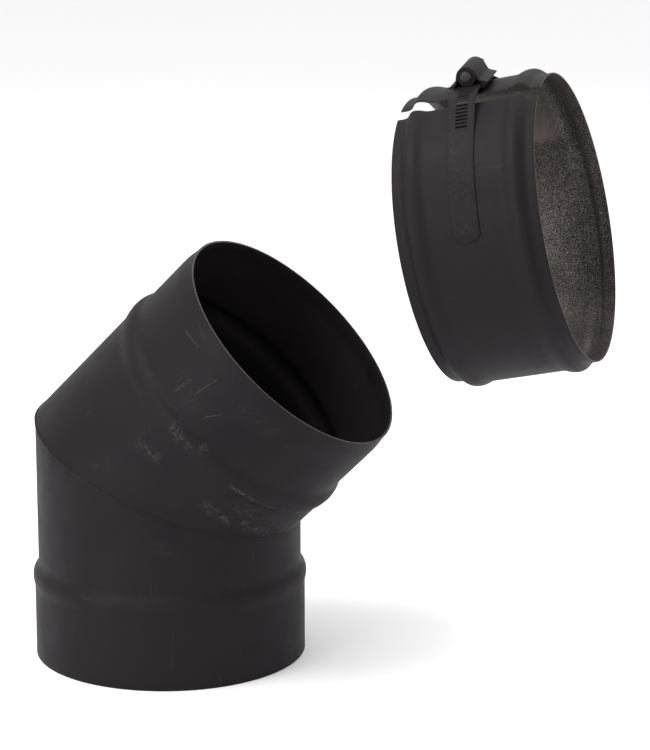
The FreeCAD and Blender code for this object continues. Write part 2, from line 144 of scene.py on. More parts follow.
class ElbowSizes(bpy.types.PropertyGroup):
    """Sizes of the two legs and the seam between them."""

    wall: length("Wall", "Sheet thickness of the legs", 0.0012)
    tube_radius: length("Tube radius", "Outside radius of the plain tube", TUBE_RADIUS)
    lower_leg: length("Lower leg", "Lower rim to the middle of the mitre", LOWER_LEG)
    upper_leg: length("Upper leg", "Middle of the mitre to the upper rim", UPPER_LEG)
    socket_radius: length("Socket radius", "Outside radius of the female end", SOCKET_RADIUS)
    socket_length: length("Socket length", "Straight depth of the female end", 0.0396)
    lower_bead_radius: length("Lower bead radius", "Crest of the lower bead", 0.0790)
    lower_bead_at: length("Lower bead height", "Crest above the lower rim", 0.0468)
    lower_bead_end: length("Lower bead end", "Where the lower bead has run out", 0.0563)
    spigot_radius: length("Spigot radius", "Outside radius of the male end", SPIGOT_RADIUS)
    spigot_tip_radius: length("Spigot lip radius", "Outside radius of its slimmer lip", 0.0732)
    spigot_lead: length("Spigot lead-in", "Length of the lead-in taper", 0.012)
    upper_bead_foot: length("Upper bead foot", "Foot of the bead below the upper rim", 0.043)
    upper_bead_radius: length("Upper bead radius", "Crest of the upper bead", 0.0774)
    upper_bead_at: length("Upper bead depth", "Crest below the upper rim", 0.0518)
    upper_bead_end: length("Upper bead end", "Where the upper bead has run out", 0.063)
    seam_radius: length("Seam radius", "Half thickness of the weld bead", 0.00085)
    steps: IntProperty(name="Steps", description="Facets round each leg", default=256, min=24)


class BandSizes(bpy.types.PropertyGroup):
    """Sizes of the band's sheet."""

    wall: length("Wall", "Sheet thickness of the band", 0.0007)
    width: length("Width", "Rim to rim", 0.0776)
    flat_radius: length("Flat radius", "Outside radius between the beads", 0.0808)
    flat_half: length("Flat half length", "From the middle to the foot of a bead", 0.0195)
    bead_radius: length("Bead radius", "Crest of each bead", 0.0826)
    bead_at: length("Bead place", "Crest of each bead from the middle", 0.028)
    lip_radius: length("Lip radius", "Outside radius beyond the beads", 0.0786)
    lip_at: length("Lip place", "Where each lip starts, from the middle", 0.0352)
    gap_rear: angle("Gap, rear edge", "Angle from the top to the rear edge of the gap", 19.0)
    gap_front: angle("Gap, front edge", "Angle from the top to the front edge of the gap", 26.0)
    flex_at: angle("Flex line", "Angle from the top to the line where the sheet flexes", 188.0)
    flex_half: length("Flex half length", "Half of the stretch of sheet that flexes", 0.0042)
    steps: IntProperty(name="Steps", description="Facets round the band", default=280, min=24)


class StrapSizes(bpy.types.PropertyGroup):
    """Sizes of the slotted strap, the anchor strap and their weld spots."""

    width: length("Width", "Width of the slotted strap", 0.0142)
    thickness: length("Thickness", "Thickness of the slotted strap", 0.0007)
    pitch: length("Slot pitch", "Slot to slot", 0.0023)
    slot_length: length("Slot length", "Across the strap", 0.0066)
    slot_height: length("Slot height", "Along the strap", 0.0011)
    slot_start: length("First slot", "Distance from where the strap leaves the band", 0.010)
    slots: IntProperty(name="Slots", description="Number of slots", default=24, min=2)
    weld_end: angle("Weld end", "Angle from the top to the strap's welded end", 86.0)
    anchor_width: length("Anchor width", "Width of the anchor strap", 0.0140)
    anchor_thickness: length("Anchor thickness", "Thickness of the anchor strap", 0.0008)
    anchor_end: angle("Anchor end", "Angle from the top to the anchor strap's end", -38.0)
    travel: length("Travel", "Length of strap in front of the housing that it can run over", 0.0115)
    tail: length("Tail", "Length of strap behind the housing", 0.002)
    slide_gap: length("Slide gap", "Running gap above and below the strap in the housing", 0.00035)
    bend_radius: length("Bend radius", "Where the strap drops from the housing to the band", 0.014)
    anchor_bend: length("Anchor bend radius", "The anchor strap's bend", 0.009)
    nose_ratio: share("Nose ratio", "Radius of a strap's rounded end over its width", 0.62)
    strap_spots: FloatVectorProperty(
        name="Strap spots", description="Angles of the two spots on the slotted strap", size=2,
        default=(math.radians(69.0), math.radians(82.5)), unit="ROTATION",
    )
    anchor_spots: FloatVectorProperty(
        name="Anchor spots", description="Angles of the two spots on the anchor strap", size=2,
        default=(math.radians(-22.0), math.radians(-32.0)), unit="ROTATION",
    )
    spot_radius: length("Spot radius", "Radius of a weld spot", 0.0014)
    spot_rise: length("Spot rise", "How far a weld spot stands proud", 0.00022)


class WormSizes(bpy.types.PropertyGroup):
    """Sizes of the housing and the worm."""

    housing_length: length("Housing length", "Along the worm", 0.024)
    axis_height: length("Axis height", "Worm axis above the anchor strap's underside", 0.0064)
    end_wall: length("End wall", "Thickness of each bored end wall", 0.001)
    end_play: length("End play", "Gap between the worm and the housing's end walls", 0.0003)
    journal_fit: length("Journal fit", "Radial clearance of the plain ends", 0.00006)
    arch_half: angle("Arch", "Each side of the arch, from its top", 70.0)
    crimp_lap: length("Crimp", "How far the crimps reach in under the anchor strap", 0.002)
    cap_wall: length("Cap wall", "Sheet thickness of the cap", 0.0009)
    arch_radius: length("Arch radius", "Inside radius over the worm", 0.0046)
    skirt_half: length("Skirt half width", "Inside half width over the strap", 0.0075)
    flare: length("Flare height", "Where the sides spread, above the anchor strap's underside", 0.0032)
    wing: length("Wing", "How far the skirt's wings stand out", 0.0024)
    wing_height: length("Wing height", "Height of the wings' sharp edges", 0.0016)
    wing_edge: length("Wing edge", "Thickness of those edges", 0.0006)
    crest_radius: length("Crest radius", "Outside radius of the thread", 0.0042)
    root_radius: length("Root radius", "Radius of the worm's core", 0.0029)
    journal_radius: length("Journal radius", "Plain ends of the worm", 0.0032)
    tip_out: length("Tip", "How far the domed tip stands out", 0.0012)
    head_flats: length("Head across flats", "Hexagon head", 0.007)
    head_length: length("Head length", "Hexagon head", 0.005)
    collar: length("Collar length", "Round collar under the head", 0.001)
    collar_radius: length("Collar radius", "Round collar under the head", 0.0042)
    slot_depth: length("Slot depth", "Depth of the screwdriver slot", 0.0016)
    thread_width: length("Thread width", "Width of the thread's crest", 0.0008)
    thread_flank: length("Thread flank", "Slope of both flanks, along the worm", 0.0007)
    thread_bite: length("Thread foot", "How deep the thread's foot is sunk in the core", 0.0002)
    thread_clear: length("Thread runout", "Plain core at each end of the thread", 0.002)
    drive_slot: length("Drive slot", "Width of the screwdriver slot", 0.0012)


class Finishes(bpy.types.PropertyGroup):
    """Colours and wear of the paint and the bare metal."""

    paint: colour("Paint", "Matt heat resistant black", (0.0062, 0.0048, 0.0058))
    paint_thin: colour("Thin paint", "Where the coat is thinner", (0.0100, 0.0082, 0.0092))
    paint_rough: share("Paint roughness", "Matt surface of the paint", 0.57)
    sheen: share("Paint sheen", "Strength of the paint's reflections", 0.125)
    scuff: colour("Scuff", "Rubbed paint", (0.125, 0.115, 0.118))
    steel: colour("Steel", "Bare sheet inside the band", (0.188, 0.161, 0.153))
    speckle: colour("Overspray", "Paint mist on the bare sheet", (0.012, 0.0095, 0.0105))
    zinc: colour("Zinc", "Plated screw", (0.46, 0.455, 0.44))


class StageSettings(bpy.types.PropertyGroup):
    """The camera, the floor and the lights."""

    azimuth: angle("Azimuth", "Camera's turn from the front towards +X", 22.62)
    elevation: angle("Elevation", "Camera's height angle", 12.94)
    distance: length("Distance", "Camera to its target", 1.4112)
    lens: FloatProperty(
        name="Lens", description="Focal length", default=121.93, subtype="DISTANCE_CAMERA"
    )
    target: FloatVectorProperty(
        name="Target", description="Point in the middle of the view", default=(0.09732, 0.0, 0.17076),
        size=3, subtype="XYZ", unit="LENGTH", precision=5,
    )
    floor: colour("Floor", "Pale floor", (0.93, 0.93, 0.94))
    world: share("Surround", "Strength of the pale surround", 1.0, 4.0)


# ---- Working by hand in code ----
def deselect():
    bpy.ops.object.select_all(action="DESELECT")


def only(obj):
    """Leave edit mode, and make one object the selected and active one."""
    if bpy.context.mode != "OBJECT":
        bpy.ops.object.mode_set(mode="OBJECT")
    deselect()
    obj.hide_set(False)
    obj.select_set(True)
    bpy.context.view_layer.objects.active = obj
    return obj


def added(name):
    """Name the primitive that was just added."""
    obj = bpy.context.object
    obj.name = name
    obj.data.name = name
    return obj


def select_where(obj, kind, test):
    """In edit mode, select only the vertices or polygons whose place passes the test."""
    bpy.ops.mesh.select_mode(type={"vertices": "VERT", "polygons": "FACE"}[kind])
    bpy.ops.mesh.select_all(action="DESELECT")
    bpy.ops.object.mode_set(mode="OBJECT")
    for item in getattr(obj.data, kind):
        item.select = bool(test(item.co if kind == "vertices" else item.center))
    bpy.ops.object.mode_set(mode="EDIT")


def drawn(name, points):
    """A mesh of one line from point to point, left in edit mode with its far end selected."""
    deselect()
    bpy.ops.mesh.primitive_plane_add(size=MM)
    obj = added(name)
    bpy.ops.object.mode_set(mode="EDIT")
    bpy.ops.mesh.select_mode(type="VERT")
    bpy.ops.mesh.select_all(action="SELECT")
    bpy.ops.mesh.merge(type="CENTER")
    bpy.ops.transform.translate(value=points[0])
    for here, there in zip(points, points[1:]):
        bpy.ops.mesh.extrude_region_move(TRANSFORM_OT_translate={"value": there - here})
    return obj


def modify(obj, kind, **settings):
    """Add a modifier, set it and apply it."""
    only(obj)
    modifier = obj.modifiers.new(kind.title(), kind)
    for key, value in settings.items():
        setattr(modifier, key, value)
    bpy.ops.object.modifier_apply(modifier=modifier.name)
    return obj


def bevel(obj, width, degrees=50, segments=2):
    """Round the edges that are sharper than an angle."""
    return modify(
        obj, "BEVEL", width=width, segments=segments,
        limit_method="ANGLE", angle_limit=math.radians(degrees),
    )


def recalculate(merge=1e-6):
    """In edit mode, merge doubled points and turn all faces outwards."""
    bpy.ops.mesh.select_mode(type="VERT")
    bpy.ops.mesh.select_all(action="SELECT")
    bpy.ops.mesh.remove_doubles(threshold=merge)
    bpy.ops.mesh.normals_make_consistent(inside=False)


def turned(name, points, axis, steps, sweep=math.tau, merge=1e-6):
    """Draw an outline and spin it about an axis through the origin; left in edit mode."""
    obj = drawn(name, points)
    bpy.ops.mesh.select_all(action="SELECT")
    bpy.ops.mesh.spin(steps=steps, angle=sweep, center=ORIGIN, axis=axis)
    recalculate(merge)
    return obj


def place(obj, matrix):
    """Bring a piece drawn at the origin to its place, and apply that to its mesh."""
    only(obj)
    obj.matrix_world = matrix @ obj.matrix_world
    bpy.ops.object.transform_apply(location=True, rotation=True, scale=True)
    return obj


def smooth(obj, degrees=35):
    only(obj)
    bpy.ops.object.shade_smooth_by_angle(angle=math.radians(degrees))
    return obj


def join(name, pieces):
    """Join finished parts of one solid into a single named piece."""
    deselect()
    for piece in pieces:
        piece.select_set(True)
    bpy.context.view_layer.objects.active = pieces[0]
    bpy.ops.object.join()
    obj = bpy.context.object
    obj.name = name
    obj.data.name = name
    return obj


def wear(obj, *materials):
    """Give a piece its materials, in slot order."""
    obj.data.materials.clear()
    for material in materials:
        obj.data.materials.append(material)


def ogee(start, end, along, count):
    """Points of two equal arcs from start to end, both ends tangent to `along`; start is left out."""
    step = end - start
    run = step.dot(along)
    across = step - along * run
    points = []
    for index in range(1, count + 1):
        t = index / count
        near = t if t <= 0.5 else 1 - t
        # Rise of a circular arc that reaches half of the step at half of the run.
        radius = (run * run + across.length_squared) / (4 * across.length)
        rise = radius - math.sqrt(radius * radius - (near * run) ** 2)
        share_up = rise / across.length
        points.append(start + along * (run * t) + across * (share_up if t <= 0.5 else 1 - share_up))
    return points


def outline(stations, along, outward, count, straight_step):
    """Outline through (distance, radius) stations: straight at equal radii, ogees elsewhere."""
    points = [along * stations[0][0] + outward * stations[0][1]]
    for (d0, r0), (d1, r1) in zip(stations, stations[1:]):
        start = along * d0 + outward * r0
        end = along * d1 + outward * r1
        if abs(r1 - r0) > 1e-7:
            points.extend(ogee(start, end, along, count))
        else:
            cuts = max(1, round(abs(d1 - d0) / straight_step))
            points.extend(start.lerp(end, (i + 1) / cuts) for i in range(cuts))
    return points


def polar(radius, turn, x=0.0, centre=ORIGIN):
    """Point at a radius and angle round the band's axis, in the band's own frame."""
    return centre + Vector((x, -radius * math.sin(turn), radius * math.cos(turn)))


# ---- Materials ----
class Nodes:
    """Short hand for wiring one procedural material."""

    def __init__(self, name):
        self.material = bpy.data.materials.new(name)
        self.material.use_nodes = True
        self.tree = self.material.node_tree
        self.tree.nodes.clear()
        self.shader = self.add("ShaderNodeBsdfPrincipled")
        output = self.add("ShaderNodeOutputMaterial")
        self.link(self.shader.outputs[0], output.inputs["Surface"])
        self.place = self.add("ShaderNodeTexCoord").outputs["Object"]

    def add(self, kind, **settings):
        node = self.tree.nodes.new(kind)
        for key, value in settings.items():
            setattr(node, key, value)
        return node

    def link(self, output, socket):
        self.tree.links.new(output, socket)

    def moved(self, rotation, scale):
        """Object coordinates in a turned and scaled frame: scale is applied first, then rotation."""
        node = self.add("ShaderNodeMapping")
        node.inputs["Rotation"].default_value = rotation
        node.inputs["Scale"].default_value = scale
        self.link(self.place, node.inputs["Vector"])
        return node.outputs["Vector"]

    def noise(self, scale, detail=3.0, rough=0.55, vector=None, distortion=0.0):
        node = self.add("ShaderNodeTexNoise")
        node.inputs["Scale"].default_value = scale
        node.inputs["Detail"].default_value = detail
        node.inputs["Roughness"].default_value = rough
        node.inputs["Distortion"].default_value = distortion
        self.link(vector or self.place, node.inputs["Vector"])
        return node.outputs["Fac"]

    def span(self, value, low, high, to_low=0.0, to_high=1.0):
        """Map a value from low..high to to_low..to_high, clamped."""
        node = self.add("ShaderNodeMapRange")
        node.inputs["From Min"].default_value = low
        node.inputs["From Max"].default_value = high
        node.inputs["To Min"].default_value = to_low
        node.inputs["To Max"].default_value = to_high
        self.link(value, node.inputs["Value"])
        return node.outputs["Result"]

    def feed(self, socket, value):
        """Link a value to a socket, or set it there when it is a constant."""
        if hasattr(value, "links"):
            self.link(value, socket)
        else:
            socket.default_value = value

    def math(self, operation, a, b):
        node = self.add("ShaderNodeMath", operation=operation)
        node.use_clamp = operation in ("ADD", "MULTIPLY")
        self.feed(node.inputs[0], a)
        self.feed(node.inputs[1], b)
        return node.outputs["Value"]

    def mix(self, amount, a, b):
        """Blend two colours; each is a colour or a socket."""
        node = self.add("ShaderNodeMix", data_type="RGBA")
        self.link(amount, node.inputs["Factor"])
        for name, value in (("A", a), ("B", b)):
            self.feed(node.inputs[name], value if hasattr(value, "links") else (*value, 1.0))
        return node.outputs["Result"]

    def bump(self, height, strength, distance, under=None):
        node = self.add("ShaderNodeBump")
        node.inputs["Strength"].default_value = strength
        node.inputs["Distance"].default_value = distance
        self.link(height, node.inputs["Height"])
        if under:
            self.link(under, node.inputs["Normal"])
        return node.outputs["Normal"]

    def vector(self, operation, a, b):
        """A vector maths node on two values; each is a constant or a socket."""
        node = self.add("ShaderNodeVectorMath", operation=operation)
        self.feed(node.inputs[0], a)
        self.feed(node.inputs["Scale" if operation == "SCALE" else 1], b)
        return node.outputs["Value" if operation in ("DOT_PRODUCT", "DISTANCE") else "Vector"]

    def shade(self, name, value):
        """Wire a value to one of the shader's sockets."""
        self.link(value, self.shader.inputs[name])

    def coat(self, cover, colours, metallic, rough):
        """Paint over bare metal: each pair runs from the metal to the paint, by the cover."""
        self.shade("Base Color", self.mix(cover, *colours))
        self.shade("Metallic", self.span(cover, 0.0, 1.0, *metallic))
        self.shade("Roughness", self.span(cover, 0.0, 1.0, *rough))

    def stroke(self, start, end, radius, feather):
        """1 along a line between two points, fading to 0 at a distance from it."""
        run = end - start
        offset = self.vector("SUBTRACT", self.place, start)
        along = self.span(self.vector("DOT_PRODUCT", offset, run / run.length_squared), 0.0, 1.0)
        nearest = self.vector("SCALE", run, along)
        away = self.vector("DISTANCE", offset, nearest)
        return self.span(away, radius * (1 - feather), radius, 1.0, 0.0)

    def along(self, direction, origin):
        """Distance of a point along a direction from an origin."""
        return self.math(
            "SUBTRACT", self.vector("DOT_PRODUCT", self.place, direction), direction.dot(origin)
        )


# Where the upper bead runs, in mm below the rim, and where the socket's bead ends above the lower one.
UPPER_BEAD_SPAN = (43, 59)
SOCKET_BEAD_TOP = 53
BEAD_MEAN_RADIUS = 0.0769


def upper_spot(below_rim, turn):
    """Point on the upper leg's outside: millimetres below its rim, degrees from its underside."""
    foot, end = UPPER_BEAD_SPAN
    radius = SPIGOT_RADIUS if below_rim < foot else BEAD_MEAN_RADIUS if below_rim < end else TUBE_RADIUS
    low = Vector((math.cos(BEND), 0, -math.sin(BEND)))
    around = low * math.cos(math.radians(turn)) - Y_AXIS * math.sin(math.radians(turn))
    return UPPER_RIM - UPPER_DIR * (below_rim * MM) + around * radius


def lower_spot(height, turn):
    """Point on the lower leg's outside: millimetres above its rim, degrees from +X to the front."""
    radius = SOCKET_RADIUS if height < SOCKET_BEAD_TOP else TUBE_RADIUS
    around = X_AXIS * math.cos(math.radians(turn)) - Y_AXIS * math.sin(math.radians(turn))
    return Z_AXIS * (height * MM) + around * radius


# Handling marks on the elbow: where they run from and to, their half width in mm, their strength.
SCRATCHES = (
    (upper_spot(14, 119), upper_spot(12, 109), 0.6, 0.22),
    (upper_spot(5.5, 119), upper_spot(6, 108), 0.6, 0.18),
    (upper_spot(38, 102), upper_spot(27, 101), 0.9, 0.13),
    (upper_spot(29, 95), upper_spot(15, 93), 0.8, 0.12),
    (upper_spot(44, 87), upper_spot(34, 85), 0.7, 0.22),
    (upper_spot(34, 85), upper_spot(26, 81), 0.6, 0.16),
    (lower_spot(33, 63), lower_spot(10, 64), 0.6, 0.05),
    (lower_spot(50, 103), lower_spot(49, 96), 0.7, 0.16),
)
CHIPS = (
    (upper_spot(55, 57), upper_spot(55.5, 47), 1.7, 0.70),
    (upper_spot(55.5, 48), upper_spot(56, 38), 1.4, 0.60),
    (upper_spot(56, 38), upper_spot(56.5, 24), 1.3, 0.55),
)
RUBS = (
    (upper_spot(51, 91), upper_spot(53, 87), 4.8, 0.60),
    (upper_spot(48, 76), upper_spot(52, 82), 4.5, 0.40),
    (upper_spot(75, 96), upper_spot(73, 88), 5.0, 0.40),
    (upper_spot(30, 104), upper_spot(36, 92), 7.0, 0.10),
    (upper_spot(16, 78), upper_spot(14, 62), 9.0, 0.08),
    (upper_spot(75, 59), upper_spot(77, 46), 4.5, 0.45),
    (upper_spot(74, 38), upper_spot(76, 24), 5.0, 0.55),
    (upper_spot(66, 46), upper_spot(67, 20), 8.0, 0.22),
    (lower_spot(84, 68), lower_spot(78, 64), 6.0, 0.10),
)

# Fine scratches of the paint: how the noise is turned, how it is drawn out, and where it is cut.
FINE_SCRATCHES = (
    ((0.3, 0.9, 0.2), (22, 800, 70), 0.745),
    ((1.1, 0.2, 2.1), (700, 30, 60), 0.75),
)
PAINT_TINT = (1.0, 0.95, 1.0, 1.0)
# Angle from the band's top to the middle of the painted patch of light inside the band, where the mist is
# left thin.
LIT_PATCH_TURN = -0.81


def highest(n, values):
    """Node that takes the largest of several values."""
    top = values[0]
    for value in values[1:]:
        top = n.math("MAXIMUM", top, value)
    return top


def matt_paint(name, finishes, scratch_amount=0.2, bare=0.0, marked=False):
    """Matt heat resistant black paint: a faint mottle, fine grain, thin scratches and handling marks.

    `bare` is how much of the metal shows through where the coat is thinnest.
    """
    n = Nodes(name)
    mottle = n.span(n.noise(26.0, 4.0, 0.6), 0.35, 0.7)
    cloud = n.span(n.noise(9.0, 2.0, 0.5), 0.35, 0.65)
    blended = n.math("MULTIPLY", n.math("ADD", mottle, cloud), 0.5)
    base = n.mix(blended, finishes.paint, finishes.paint_thin)
    if bare:
        peeled = n.math("MULTIPLY", n.span(n.noise(520.0, 5.0, 0.7), 0.56, 0.66), bare)
        base = n.mix(peeled, base, finishes.zinc)
    # Fine scratches: noise drawn out along one direction and cut to its thin peaks.
    marks = []
    for turn, stretch, low in FINE_SCRATCHES:
        drawn_out = n.noise(1.0, 1.5, 0.4, n.moved(rotation=turn, scale=stretch))
        marks.append(n.span(drawn_out, low, low + 0.02))
    marks = [n.math("MULTIPLY", highest(n, marks), scratch_amount)]
    if marked:
        broken = n.span(n.noise(900.0, 3.0, 0.6), 0.38, 0.55)
        grit = n.span(n.noise(560.0, 5.0, 0.8), 0.50, 0.62)
        chalk = n.span(n.noise(430.0, 8.0, 0.80, distortion=0.25), 0.47, 0.72)
        kinds = ((SCRATCHES, broken, 0.7), (CHIPS, grit, 0.8), (RUBS, chalk, 0.95))
        for group, texture, feather in kinds:
            for start, end, half_width, strength in group:
                near = n.stroke(start, end, half_width * MM, feather)
                marks.append(n.math("MULTIPLY", n.math("MULTIPLY", near, texture), strength))
    worn = highest(n, marks)
    n.shade("Base Color", n.mix(worn, base, finishes.scuff))
    rough = finishes.paint_rough
    n.shade("Roughness", n.span(n.noise(60.0, 5.0, 0.65), 0.3, 0.7, rough - 0.05, rough + 0.06))
    n.shader.inputs["Specular IOR Level"].default_value = finishes.sheen
    n.shader.inputs["Specular Tint"].default_value = PAINT_TINT
    grain = n.bump(n.noise(2600.0, 3.0, 0.6), 0.35, 0.00006)
    waves = n.bump(n.noise(13.0, 1.0, 0.4), 0.25, 0.0012, grain)
    n.shade("Normal", n.bump(worn, 0.25, 0.00005, waves))
    return n.material


def misted_steel(name, finishes):
    """Bare sheet inside the band, under a mist of black paint that thickens towards the rims, with a
    painted patch of light at its upper rear.
    """
    n = Nodes(name)
    sheen = n.span(n.noise(60.0, 4.0, 0.6), 0.3, 0.7)
    steel = n.mix(sheen, [c * 0.75 for c in finishes.steel], finishes.steel)
    from_middle = n.along(BAND_AXIS, BAND_CENTRE)
    reach = n.span(from_middle, 0.004, 0.038, 0.0, 0.02)
    patches = n.span(n.noise(16.0, 3.0, 0.6), 0.3, 0.72, 0.51, 0.58)
    # Painted light: the upper rear of the sheet gets less mist, so its bare steel shows lighter there as
    # a painted patch of light. The mist also thins towards the bottom, so the sheet is lighter there.
    upper_rear = (BAND_MATRIX.to_3x3() @ polar(1.0, LIT_PATCH_TURN)).normalized()
    painted_light_patch = n.span(n.along(upper_rear, BAND_CENTRE), 0.0765, 0.0778, 0.0, 0.14)
    painted_light_patch = n.math("MULTIPLY", painted_light_patch, n.span(from_middle, 0.014, 0.026, 1.0, 0.0))
    thin_low = n.span(n.along(Z_AXIS, BAND_CENTRE), -0.075, -0.045, 0.075, 0.0)
    clear = n.math("MAXIMUM", painted_light_patch, thin_low)
    density = n.math("SUBTRACT", n.math("ADD", patches, reach), clear)
    dots = n.noise(1700.0, 3.0, 0.75)
    mist = n.span(n.math("SUBTRACT", dots, density), -0.08, 0.06, 1.0, 0.0)
    n.coat(mist, (steel, finishes.speckle), (0.8, 0.1), (0.40, 0.62))
    n.shader.inputs["Specular IOR Level"].default_value = finishes.sheen
    n.shade("Normal", n.bump(mist, 0.3, 0.00005))
    return n.material


def cut_edge(name, finishes):
    """Sheared edge of the sheet: bare metal with thin paint over it."""
    n = Nodes(name)
    thin = n.span(n.noise(420.0, 4.0, 0.7), 0.18, 0.46)
    n.coat(thin, (finishes.steel, finishes.paint_thin), (0.7, 0.1), (0.35, 0.5))
    n.shade("Normal", n.bump(n.noise(1800.0, 2.0), 0.3, 0.00004))
    return n.material


def plated_screw(name, finishes):
    """Zinc plated steel under a coat of the band's paint that is thin on its edges."""
    n = Nodes(name)
    tone = n.span(n.noise(300.0, 4.0, 0.6), 0.3, 0.7)
    zinc = n.mix(tone, [c * 0.7 for c in finishes.zinc], finishes.zinc)
    mist = n.span(n.noise(700.0, 4.0, 0.7), 0.15, 0.35)
    n.coat(mist, (zinc, finishes.paint_thin), (0.95, 0.2), (0.3, 0.55))
    n.shade("Normal", n.bump(n.noise(2200.0, 2.0), 0.25, 0.00004))
    return n.material


# ---- Pieces ----
def close_cut():
    """Bridge the two open loops that a cut left in a wall."""
    bpy.ops.mesh.select_mode(type="EDGE")
    bpy.ops.mesh.select_all(action="DESELECT")
    bpy.ops.mesh.select_non_manifold(
        extend=False, use_wire=False, use_boundary=True, use_multi_face=False,
        use_non_contiguous=False, use_verts=False,
    )
    bpy.ops.mesh.bridge_edge_loops()


# Spare length of a leg past the mitre, cut off again, and the depth of the sheared rim's faces.
LEG_SPARE = 0.005
RIM_DEPTH = 0.0001


def turned_leg(name, stations, sizes, matrix, cut_normal):
    """Lathe a leg about +Z from its rim, give it its wall, and cut it on the mitre plane."""
    obj = turned(name, outline(stations, Z_AXIS, X_AXIS, 10, 0.006), Z_AXIS, sizes.steps)
    modify(obj, "SOLIDIFY", thickness=sizes.wall, offset=-1.0, use_even_offset=True)
    place(obj, matrix)
    bpy.ops.object.mode_set(mode="EDIT")
    bpy.ops.mesh.select_all(action="SELECT")
    mitre = Z_AXIS * sizes.lower_leg
    bpy.ops.mesh.bisect(plane_co=mitre, plane_no=cut_normal, clear_outer=True, threshold=1e-6)
    close_cut()
    bevel(obj, 0.00022)
    return smooth(obj)


def faces_near(obj, test, material_index):
    """Give the faces whose centre passes the test another of the piece's materials."""
    for face in obj.data.polygons:
        if test(face.center, face.normal):
            face.material_index = material_index


class FLUE_OT_lower_leg(bpy.types.Operator):
    """Make the lower leg, with its socket end and stop bead"""

    bl_idname = "flue.lower_leg"
    bl_label = "Lower leg"

    def execute(self, context):
        s = context.scene.elbow_sizes
        overrun = s.tube_radius * math.tan(BEND / 2) + LEG_SPARE
        stations = [
            (0.0, s.socket_radius),
            (s.socket_length, s.socket_radius),
            (s.lower_bead_at, s.lower_bead_radius),
            (s.lower_bead_end, s.tube_radius),
            (s.lower_leg + overrun, s.tube_radius),
        ]
        leg = turned_leg("lower_leg", stations, s, Matrix.Identity(4), MITRE_NORMAL)
        wear(leg, ELBOW_PAINT(), EDGE())
        faces_near(leg, lambda c, n: c.z < RIM_DEPTH and n.z < -0.5, 1)
        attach(leg, "elbow")
        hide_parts("lower_segment")
        return {"FINISHED"}


class FLUE_OT_upper_leg(bpy.types.Operator):
    """Make the upper leg, with its spigot end and stop bead"""

    bl_idname = "flue.upper_leg"
    bl_label = "Upper leg"

    def execute(self, context):
        s = context.scene.elbow_sizes
        overrun = s.tube_radius * math.tan(BEND / 2) + LEG_SPARE
        stations = [
            (0.0, s.spigot_tip_radius),
            (s.spigot_lead, s.spigot_radius),
            (s.upper_bead_foot, s.spigot_radius),
            (s.upper_bead_at, s.upper_bead_radius),
            (s.upper_bead_end, s.tube_radius),
            (s.upper_leg + overrun, s.tube_radius),
        ]
        rim = Z_AXIS * s.lower_leg + UPPER_DIR * s.upper_leg
        down = Matrix.Translation(rim) @ Matrix.Rotation(BEND + math.pi, 4, "Y")
        leg = turned_leg("upper_leg", stations, s, down, -MITRE_NORMAL)
        wear(leg, ELBOW_PAINT(), EDGE())
        faces_near(leg, lambda c, n: (c - rim).dot(UPPER_DIR) > -RIM_DEPTH and n.dot(UPPER_DIR) > 0.5, 1)
        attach(leg, "elbow")
        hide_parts("upper_segment")
        return {"FINISHED"}


class FLUE_OT_mitre_seam(bpy.types.Operator):
    """Make the rippled weld bead round the mitre"""

    bl_idname = "flue.mitre_seam"
    bl_label = "Mitre seam"

    def execute(self, context):
        s = context.scene.elbow_sizes
        sections, ripple, sink = 480, 0.00016, 0.0005
        deselect()
        bpy.ops.mesh.primitive_torus_add(
            major_segments=sections, minor_segments=10,
            major_radius=s.tube_radius - sink, minor_radius=s.seam_radius,
        )
        seam = added("mitre_seam")
        bpy.ops.object.mode_set(mode="EDIT")
        step = math.tau / sections
        select_where(seam, "vertices", lambda p: round(math.atan2(p.y, p.x) / step) % 2 == 0)
        bpy.ops.transform.shrink_fatten(value=ripple)
        bpy.ops.mesh.select_all(action="SELECT")
        bpy.ops.transform.resize(value=(1 / math.cos(BEND / 2), 1, 1))
        bpy.ops.mesh.normals_make_consistent(inside=False)
        tilt = Matrix.Translation(Z_AXIS * s.lower_leg) @ Matrix.Rotation(BEND / 2, 4, "Y")
        place(seam, tilt)
        smooth(seam, 60)
        wear(seam, SEAM_PAINT())
        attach(seam, "elbow")
        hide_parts("mitre_weld")
        return {"FINISHED"}


class FLUE_OT_band_sheet(bpy.types.Operator):
    """Make the band's single sheet, from one rim to the other, open at its gap"""

    bl_idname = "flue.band_sheet"
    bl_label = "Band sheet"

    def execute(self, context):
        s = context.scene.band_sizes
        stations = [
            (-s.width / 2, s.lip_radius),
            (-s.lip_at, s.lip_radius),
            (-s.bead_at, s.bead_radius),
            (-s.flat_half, s.flat_radius),
            (s.flat_half, s.flat_radius),
            (s.bead_at, s.bead_radius),
            (s.lip_at, s.lip_radius),
            (s.width / 2, s.lip_radius),
        ]
        points = outline(stations, X_AXIS, Z_AXIS, 10, 0.004)
        turn = Matrix.Rotation(s.gap_rear, 4, "X")
        points = [turn @ p for p in points]
        sweep = math.tau - s.gap_front + s.gap_rear
        sheet = only(turned("band_sheet", points, X_AXIS, s.steps, sweep))
        outward = sum(f.normal.dot(Vector((0, f.center.y, f.center.z))) for f in sheet.data.polygons)
        if outward < 0:
            sheet.data.flip_normals()
        wear(sheet, BAND_PAINT(), MISTED_STEEL(), EDGE())
        modify(sheet, "SOLIDIFY", thickness=s.wall, offset=-1.0, material_offset=1, material_offset_rim=2)
        bevel(sheet, 0.00014)
        smooth(sheet)
        place(sheet, BAND_MATRIX)
        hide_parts("band_front_half", "band_rear_half")
        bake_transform(sheet)
        return {"FINISHED"}


def arc(centre, radius, start, end, step=0.0012):
    """Points of an arc in the band's cross plane, both ends included."""
    count = max(2, round(abs(end - start) * radius / step))
    return [polar(radius, start + (end - start) * i / count, centre=centre) for i in range(count + 1)]


